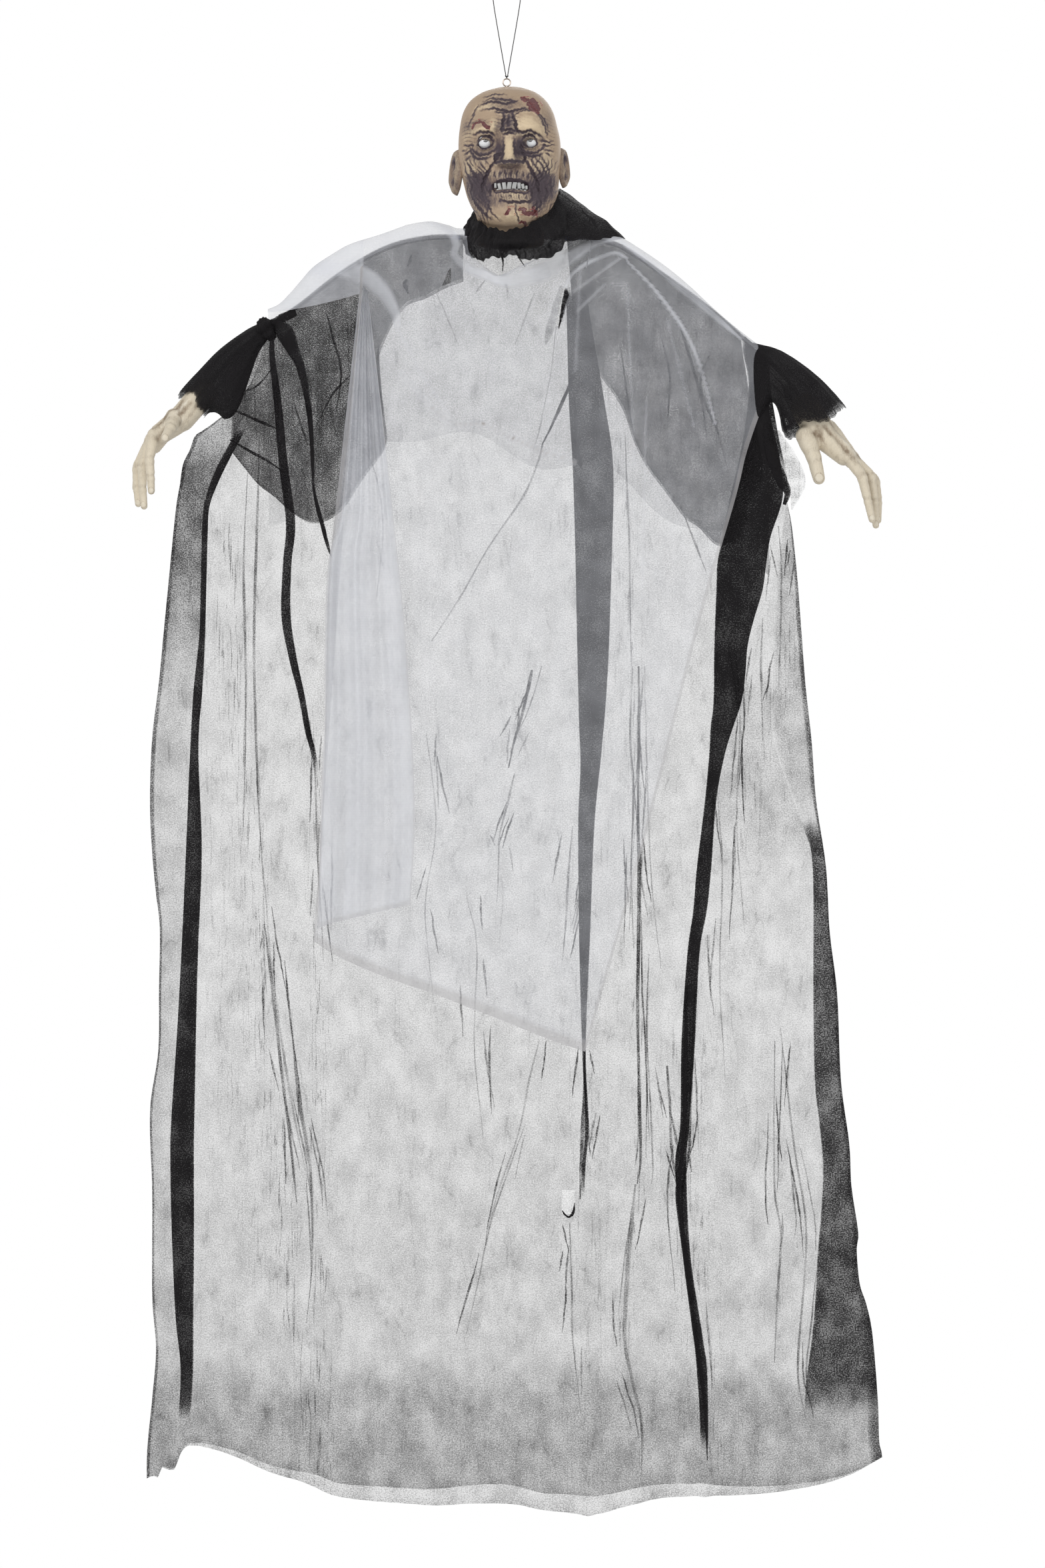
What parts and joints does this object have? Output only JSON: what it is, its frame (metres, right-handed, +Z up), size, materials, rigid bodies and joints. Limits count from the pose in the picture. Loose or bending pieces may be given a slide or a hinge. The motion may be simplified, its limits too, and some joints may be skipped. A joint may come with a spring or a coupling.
{
  "type": "hanging zombie decoration",
  "caption": "Hanging zombie figure: bald moulded undead head, pale moulded hands, a long translucent black robe and a sheer pale shawl, on a thin black cord loop.",
  "frame": {"origin": "the hang_point mount: the top of the cord loop, where it rests on a hook", "axes": "+Z up along the hanging cord, the face looks along -Y, +X is the viewer's right"},
  "size_m": [0.9997, 0.2363, 2.0302],
  "materials": {
    "painted_skin": "matt painted moulding with dark wash in the recesses",
    "hand_skin": "matt cream moulding with a light brown wash",
    "black_cloth": "thin translucent non-woven cloth, matt",
    "pale_voile": "sheer voile, matt",
    "eye_steel": "plain steel wire",
    "cord": "thin matt cord",
    "covered_wire": "matt plastic covering",
    "blue_tape": "slightly glossy film tape"
  },
  "bodies": {
    "root": {"hanging_cord": "cord", "cord_knot": "cord", "hanging_eye": "eye_steel", "eye_nut": "eye_steel", "head": "painted_skin", "arm_wire": "covered_wire", "left_tape": "blue_tape", "right_tape": "blue_tape", "left_hand": "hand_skin", "right_hand": "hand_skin", "left_sleeve": "black_cloth", "right_sleeve": "black_cloth", "left_cuff": "black_cloth", "right_cuff": "black_cloth", "cuff_tie": "black_cloth", "collar": "black_cloth", "robe_front": "black_cloth", "robe_back": "black_cloth", "veil": "pale_voile", "veil_tail": "pale_voile"}
  },
  "joints": []
}
